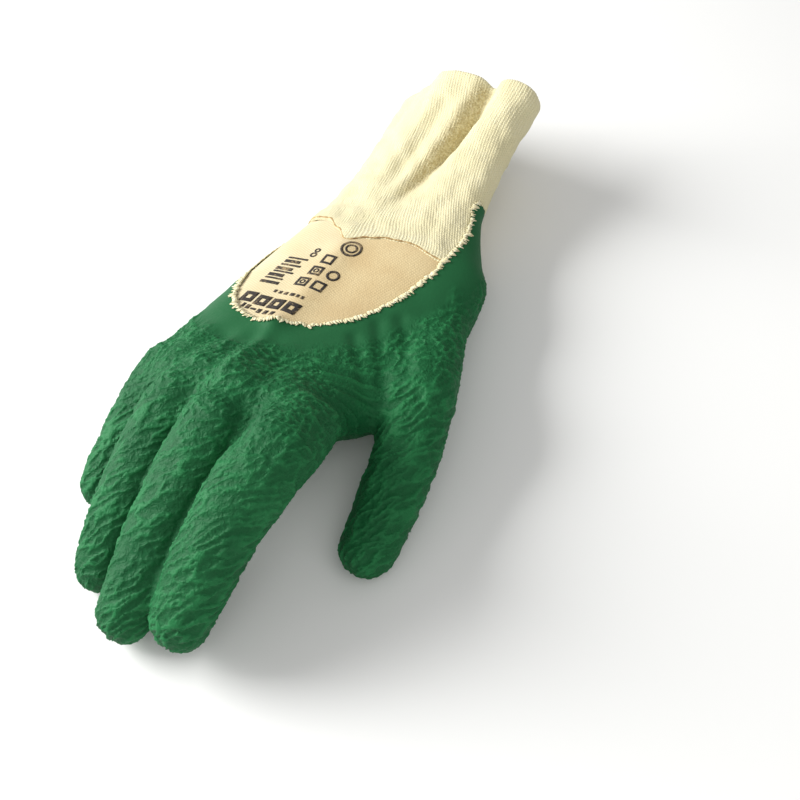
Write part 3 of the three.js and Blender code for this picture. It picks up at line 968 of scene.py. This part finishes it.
profile = cuff_profile()
cuff_sides = RIBS * SIDES_PER_RIB
cuff = bmesh.new()
cuff_rows = tube_grid(cuff, cuff_sides, len(profile) - 1)
furrows, crease_shades, stitch_places = {}, {}, {}
row_length = 0
for row, (y, inset) in enumerate(profile):
    if row:
        row_length += math.dist(profile[row], profile[row - 1])
    ring = cuff_ring(y, inset)
    for k, (vert, point) in enumerate(zip(cuff_rows[row], ring)):
        before, after = ring[(k - 1) % cuff_sides], ring[(k + 1) % cuff_sides]
        outward = Vector((0, 1, 0)).cross(after - before).normalized()
        relief = cuff_relief(point, k, y)
        if inset == CUFF_OUT:
            sunk = UNDER_LATEX * smoothstep(-0.9, 0.5, latex_depth(point))
            point = point - outward * sunk
        vert.co = point + outward * relief
        vert.co.z = max(vert.co.z, TABLE_CLEAR)
        # Masks for the painted shade: the rib furrows, and the depth in the crease.
        furrows[vert.index] = 0.5 - 0.5 * rib_wave(k)
        crease_shades[vert.index] = crease_share(point, y) if inset == CUFF_OUT else 0
        slanted = row_length / STITCH_LENGTH + 0.35 * rib_wave(k)
        stitch_places[vert.index] = Vector((k / SIDES_PER_RIB, slanted * 0.314, 0))
for name, kind, values in (("furrow", "float", furrows), ("crease_shade", "float", crease_shades),
                           ("stitch", "vector", stitch_places)):
    store(cuff, name, kind, [values[vert.index] for vert in cuff.verts])
bmesh.ops.remove_doubles(cuff, verts=cuff.verts, dist=0.001)
bmesh.ops.recalc_face_normals(cuff, faces=cuff.faces)
finished("rib_cuff", cuff, rib_finish(), ["knit_cuff"])


# ---- Seam at the wrist --------------------------------------------------------
# The cuff is overlocked to the liner with tan cotton thread, which shows as a
# thin twisted line round the wrist.

THREAD_RADIUS = 0.32
THREAD_TWIST = 0.3       # how much its radius varies, as a share
THREAD_SIDES = 8
THREAD_STEP = 5          # every which point of the cuff's edge it passes
THREAD_Y, THREAD_INSET = -0.3, CUFF_OUT + 0.35
THREAD_UNDER_LATEX = 2.2
THREAD_LOWEST = 0.3      # over the table


def thread_finish():
    """Tan cotton thread with a twist."""
    finish, tree, shader = principled("tan_overlock_thread")
    place = node(tree, "ShaderNodeTexCoord").outputs["Object"]
    twist = noise_in(tree, place, 900.0, Detail=2.0)
    feed(tree, shader.inputs["Base Color"],
         mixed(tree, ramped(tree, twist, 0.35, 0.65), srgb(142, 112, 70), srgb(188, 162, 112)))
    shader.inputs["Roughness"].default_value = 0.9
    in_relief(tree, shader, (twist, 0.5, 0.0004))
    return finish


path = cuff_ring(THREAD_Y, THREAD_INSET)[:-1:THREAD_STEP]
stops = len(path)
thread = bmesh.new()
for row, verts in enumerate(tube_grid(thread, stops, THREAD_SIDES)):
    angle = math.tau * row / THREAD_SIDES
    for k, vert in enumerate(verts):
        before, here, after = (path[(k + step) % stops] for step in (-1, 0, 1))
        along = (after - before).normalized()
        outward = Vector((0, 1, 0)).cross(along).normalized()
        sideways = along.cross(outward)
        radius = THREAD_RADIUS * (1 + THREAD_TWIST * math.cos(1.9 * k))
        sunk = THREAD_UNDER_LATEX * smoothstep(-1.2, 0.2, latex_depth(here))
        vert.co = (here + outward * (math.cos(angle) * radius - sunk)
                   + sideways * math.sin(angle) * radius)
        vert.co.z = max(vert.co.z, THREAD_LOWEST)
bmesh.ops.remove_doubles(thread, verts=thread.verts, dist=0.0005)
bmesh.ops.recalc_face_normals(thread, faces=thread.faces)
finished("wrist_seam_thread", thread, thread_finish())


# ---- Nap along the latex's edge -----------------------------------------------
# Where the latex ends it has drawn the jersey's nap up into pale ragged teeth,
# which lie over its edge.

NAP_REACH = (0.3, 2.1)   # onto the latex
NAP_BACK = 0.9           # and this far onto the bare cloth
NAP_WIDTH = (0.9, 2.4)
NAP_FLATNESS = 0.28
NAP_TURN = 28            # degrees to either side
NAP_RISE, NAP_LIFT = 0.2, 0.16
NAP_SIDES = 6
NAP_STEP = 0.62          # the least distance between two teeth


def nap_finish():
    """Pale cotton fluff."""
    finish, tree, shader = principled("pale_cotton_nap")
    place = node(tree, "ShaderNodeTexCoord").outputs["Object"]
    fluff = noise_in(tree, place, 1300.0, Detail=3.0)
    feed(tree, shader.inputs["Base Color"],
         mixed(tree, ramped(tree, fluff, 0.3, 0.7), srgb(206, 194, 148), srgb(232, 226, 194)))
    shader.inputs["Roughness"].default_value = 1.0
    in_relief(tree, shader, (fluff, 0.7, 0.0004))
    return finish


chance = random.Random(8)
nap = bmesh.new()
placed = kdtree.KDTree(len(border_places))
for i, (point, _) in enumerate(border_places):
    placed.insert(point, i)
placed.balance()
taken = set()
for i, (point, normal) in enumerate(border_places):
    if i in taken or point.y > COAT_END_Y - 0.6:
        continue
    taken.update(j for _, j, _ in placed.find_range(point, NAP_STEP))
    slope = rise(latex_depth, point, 0.4)
    slope -= normal * slope.dot(normal)
    if slope.length < 0.05:
        continue
    turn = math.radians(chance.uniform(-NAP_TURN, NAP_TURN))
    onto_latex = (Matrix.Rotation(turn, 3, normal) @ slope).normalized()
    rising = (onto_latex + normal * NAP_RISE).normalized()
    reach, wide = chance.uniform(*NAP_REACH), chance.uniform(*NAP_WIDTH)
    tooth = bmesh.ops.create_cone(nap, segments=NAP_SIDES, radius1=wide / 2, radius2=wide / 7,
                                  depth=reach + NAP_BACK, cap_ends=True)["verts"]
    axes = Matrix((normal.cross(onto_latex), normal * NAP_FLATNESS, rising)).transposed()
    middle = point + onto_latex * (reach - NAP_BACK) / 2 + normal * NAP_LIFT
    bmesh.ops.transform(nap, matrix=Matrix.Translation(middle) @ axes.to_4x4(), verts=tooth)
bmesh.ops.recalc_face_normals(nap, faces=nap.faces)
for vert in nap.verts:
    vert.co.z = max(vert.co.z, TABLE_CLEAR)
finished("latex_edge_nap", nap, nap_finish())


# ---- Ink on the bare patch ----------------------------------------------------
# A dark stamp pressed on the jersey and partly worn away: plain bars, boxes
# and rings, and the size number 8. The film is 0.1 mm thick.

INK_THICKNESS = 0.1
INK_TURN = math.radians(4)
INK_LIFT = 0.03
ABOVE_ALL = 80           # a height over the whole glove

# Bars: middle x and y, width and height, in mm.
INK_BARS = (
    (-26, -55.8, 1.3, 2.4), (-23.6, -56.2, 1.8, 2.4), (-20.8, -56.6, 2.4, 1.0),
    (-17.8, -56.8, 1.8, 2.4), (-14.8, -56.7, 1.8, 2.4), (-11.8, -56.5, 1.8, 2.4),
    (-8, -44, 1.2, 1.6), (-10, -44.1, 1.2, 1.6), (-12.4, -44.2, 2.0, 1.6),
    (-15.4, -44.3, 1.7, 1.6), (-18, -44.4, 1.5, 1.6), (-20.4, -44.4, 1.3, 1.6),
    (-26.6, -40.6, 8.5, 1.6), (-26.6, -38, 8, 0.9), (-27.2, -36, 7, 1.8), (-25.6, -33.6, 9, 0.9),
    (-26.6, -31.8, 7.5, 1.7), (-25.4, -29.3, 9, 1.0), (-26.2, -27.2, 7, 1.6),
    (-25.1, -25, 9, 0.9),
)
# Boxes: middle, outer width and height, and the width of the line.
INK_BOXES = (
    (-27.8, -50.8, 5.8, 6, 1.9), (-21, -51.1, 5.6, 6, 1.9), (-14.4, -51, 5.6, 6, 1.9),
    (-7.8, -50.6, 5.6, 6, 1.9), (-14.1, -36.2, 5.2, 5, 1.0), (-7.2, -35.8, 5, 5, 1.0),
    (-13.1, -29.2, 5.2, 5, 1.0), (-12.6, -22.2, 5, 5, 1.0),
)
# Rings: middle, outer radii across and along, and the width of the line.
INK_RINGS = (
    (-20.6, -21.3, 1.5, 1.4, 0.75), (-20.6, -18.6, 1.3, 1.25, 0.7),
    (-14.1, -36.2, 1.2, 1.2, 0.6), (-13.1, -29.2, 1.2, 1.2, 0.6), (-6, -28.4, 2.6, 2.6, 1.0),
    (-8.6, -13.2, 4.2, 4.2, 1.0), (-8.6, -13.2, 2.4, 2.4, 0.8),
)


def ink_finish():
    """Black-brown ink, worn through to the cloth's colour in small specks."""
    finish, tree, shader = principled("worn_stamp_ink")
    place = node(tree, "ShaderNodeTexCoord").outputs["Object"]
    specks = noise_in(tree, place, 1500.0, Detail=3.0)
    wear = maths(tree, "ADD", specks, noise_in(tree, place, 160.0, Detail=2.0))
    feed(tree, shader.inputs["Base Color"],
         mixed(tree, ramped(tree, wear, 1.0, 1.3), srgb(38, 32, 28), srgb(150, 128, 92)))
    shader.inputs["Roughness"].default_value = 0.85
    in_relief(tree, shader, (specks, 0.4, 0.0002))
    return finish


def press_on_cloth(film, verts, x, y):
    """Turns and moves flat marks to their place and drops them onto the liner."""
    bmesh.ops.transform(film, verts=verts,
                        matrix=Matrix.Translation((x, y, 0)) @ Matrix.Rotation(INK_TURN, 4, "Z"))
    for vert in verts:
        place, _, _, _ = liner_surface.ray_cast(Vector((vert.co.x, vert.co.y, ABOVE_ALL)),
                                                Vector((0, 0, -1)))
        vert.co.z = place.z + INK_LIFT


ink = bmesh.new()
for x, y, wide, tall in INK_BARS:
    segments = max(2, round(wide / 0.8))
    bar = bmesh.ops.create_grid(ink, x_segments=segments, y_segments=2, size=0.5)["verts"]
    bmesh.ops.scale(ink, verts=bar, vec=(wide, tall, 1))
    press_on_cloth(ink, bar, x, y)
for x, y, wide, tall, line in INK_BOXES:
    for dx, dy, w, h in ((0, (tall - line) / 2, wide, line), (0, (line - tall) / 2, wide, line),
                         ((wide - line) / 2, 0, line, tall - 2 * line),
                         ((line - wide) / 2, 0, line, tall - 2 * line)):
        side = bmesh.ops.create_grid(ink, x_segments=4, y_segments=4, size=0.5)["verts"]
        bmesh.ops.scale(ink, verts=side, vec=(w, h, 1))
        bmesh.ops.translate(ink, verts=side, vec=(dx, dy, 0))
        press_on_cloth(ink, side, x, y)
for x, y, wide, tall, line in INK_RINGS:
    outer = bmesh.ops.create_circle(ink, segments=24, radius=1)["verts"]
    inner = bmesh.ops.create_circle(ink, segments=24, radius=1)["verts"]
    bmesh.ops.scale(ink, verts=outer, vec=(wide, tall, 1))
    bmesh.ops.scale(ink, verts=inner, vec=(wide - line, tall - line, 1))
    bmesh.ops.bridge_loops(ink, edges=edges_of(outer + inner))
    press_on_cloth(ink, outer + inner, x, y)
bmesh.ops.recalc_face_normals(ink, faces=ink.faces)
bmesh.ops.reverse_faces(ink, faces=[face for face in ink.faces if face.normal.z < 0])
bmesh.ops.solidify(ink, geom=ink.faces[:], thickness=-INK_THICKNESS)
bmesh.ops.recalc_face_normals(ink, faces=ink.faces)
finished("patch_ink", ink, ink_finish())
